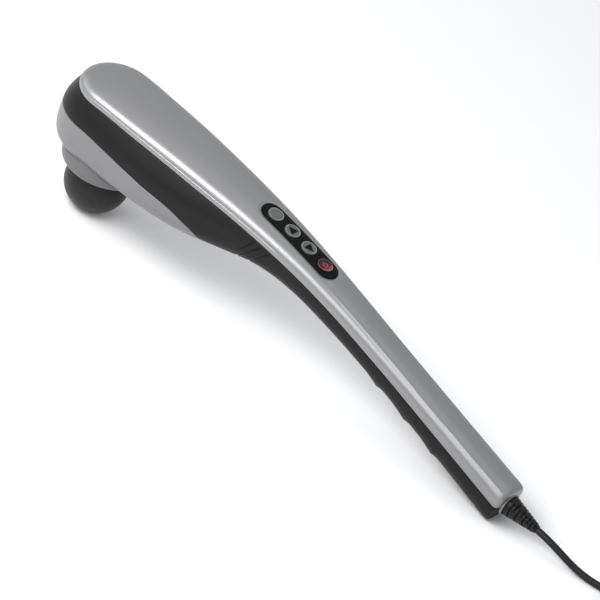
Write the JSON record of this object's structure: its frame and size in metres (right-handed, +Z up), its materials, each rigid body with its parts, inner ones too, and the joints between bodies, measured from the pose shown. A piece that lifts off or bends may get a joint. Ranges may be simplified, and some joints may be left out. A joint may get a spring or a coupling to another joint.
{
  "type": "wand massager",
  "caption": "Handheld percussion wand massager: curved two-part handle, domed head with a rubber ball on a driven plunger, push-button panel, finger ridges and a mains lead with plug.",
  "frame": {"origin": "on the floor under the middle of the massager's box, measured without the mains lead; the massager rests on its massage ball and on the heel of its handle", "axes": "+X along the body from the massage head to the tail, +Z up, +Y across the body"},
  "size_m": [0.6503, 0.0814, 0.0967],
  "materials": {
    "silver_paint": "satin silver paint on moulded plastic, fine metallic grain",
    "charcoal": "satin charcoal plastic, fine moulded texture",
    "pale_grey": "satin light grey plastic",
    "mid_grey": "satin mid grey plastic",
    "ball_rubber": "matt dark rubber",
    "black_gloss": "polished black",
    "button_grey": "semi-gloss grey-green",
    "button_red": "semi-gloss dark red",
    "steel": "zinc-plated and drawn steel",
    "brass": "turned brass",
    "copper": "enamelled copper winding",
    "board_green": "green solder mask",
    "black_plastic": "matt black plastic",
    "white_plastic": "matt white plastic",
    "wire_red": "red wire insulation",
    "wire_blue": "blue wire insulation",
    "cord_black": "satin black flexible PVC"
  },
  "bodies": {
    "root": {"top_shell": "silver_paint", "lower_housing": "charcoal", "head_cover": "pale_grey", "collar_ring": "mid_grey", "plunger_bush": "brass", "motor_can": "steel", "motor_end_cap": "black_plastic", "motor_sleeve_front": "ball_rubber", "motor_sleeve_rear": "ball_rubber", "motor_cradle": "black_plastic", "motor_strap": "steel", "body_screw_1": "steel", "body_screw_2": "steel", "body_screw_3": "steel", "cover_screw_1": "steel", "cover_screw_2": "steel", "collar_screw_1": "steel", "collar_screw_2": "steel", "collar_screw_3": "steel", "control_panel": "black_gloss", "button_board": "board_green", "mode_button_switch": "black_plastic", "speed_up_button_switch": "black_plastic", "speed_down_button_switch": "black_plastic", "power_button_switch": "black_plastic", "power_board": "board_green", "capacitor": "black_plastic", "choke_coil": "copper", "drive_transistor": "black_plastic", "fuse": "white_plastic", "motor_lead_red": "wire_red", "motor_lead_blue": "wire_blue", "panel_ribbon": "white_plastic", "strain_relief": "cord_black", "inner_cord": "cord_black", "cord_clamp": "black_plastic", "clamp_screw_1": "steel", "clamp_screw_2": "steel", "live_core": "wire_red", "neutral_core": "wire_blue", "cord_lead": "cord_black", "cord_end": "cord_black", "cord_coil": "cord_black", "cord_tie": "black_plastic", "plug_body": "cord_black", "plug_pin_left": "brass", "plug_pin_right": "brass"},
    "plunger_body": {"plunger": "steel", "ball_insert": "brass", "massage_ball": "ball_rubber"},
    "rotor": {"motor_shaft": "steel", "motor_armature": "copper", "crank_disc": "steel", "crank_bearing": "steel"},
    "mode_button_body": {"mode_button": "button_grey"},
    "speed_up_button_body": {"speed_up_button": "button_grey"},
    "speed_down_button_body": {"speed_down_button": "button_grey"},
    "power_button_body": {"power_button": "button_red"}
  },
  "joints": [
    {"name": "plunger_slide", "type": "slide", "parent": "root", "child": "plunger_body", "axis": [0, 0, -1], "range_m": [0, 0.004]},
    {"name": "rotor_spin", "type": "hinge", "parent": "root", "child": "rotor", "pos_m": [-0.17194, 0, 0.0673], "axis": [1, 0, 0], "continuous": true},
    {"name": "mode_button_press", "type": "slide", "parent": "root", "child": "mode_button_body", "axis": [-0.1887, 0, -0.982], "range_m": [0, 0.0008], "stiffness_N_per_m": 1500, "springref_m": -0.0004},
    {"name": "speed_up_button_press", "type": "slide", "parent": "root", "child": "speed_up_button_body", "axis": [-0.1887, 0, -0.982], "range_m": [0, 0.0008], "stiffness_N_per_m": 1500, "springref_m": -0.0004},
    {"name": "speed_down_button_press", "type": "slide", "parent": "root", "child": "speed_down_button_body", "axis": [-0.1887, 0, -0.982], "range_m": [0, 0.0008], "stiffness_N_per_m": 1500, "springref_m": -0.0004},
    {"name": "power_button_press", "type": "slide", "parent": "root", "child": "power_button_body", "axis": [-0.1887, 0, -0.982], "range_m": [0, 0.0008], "stiffness_N_per_m": 1500, "springref_m": -0.0004}
  ]
}
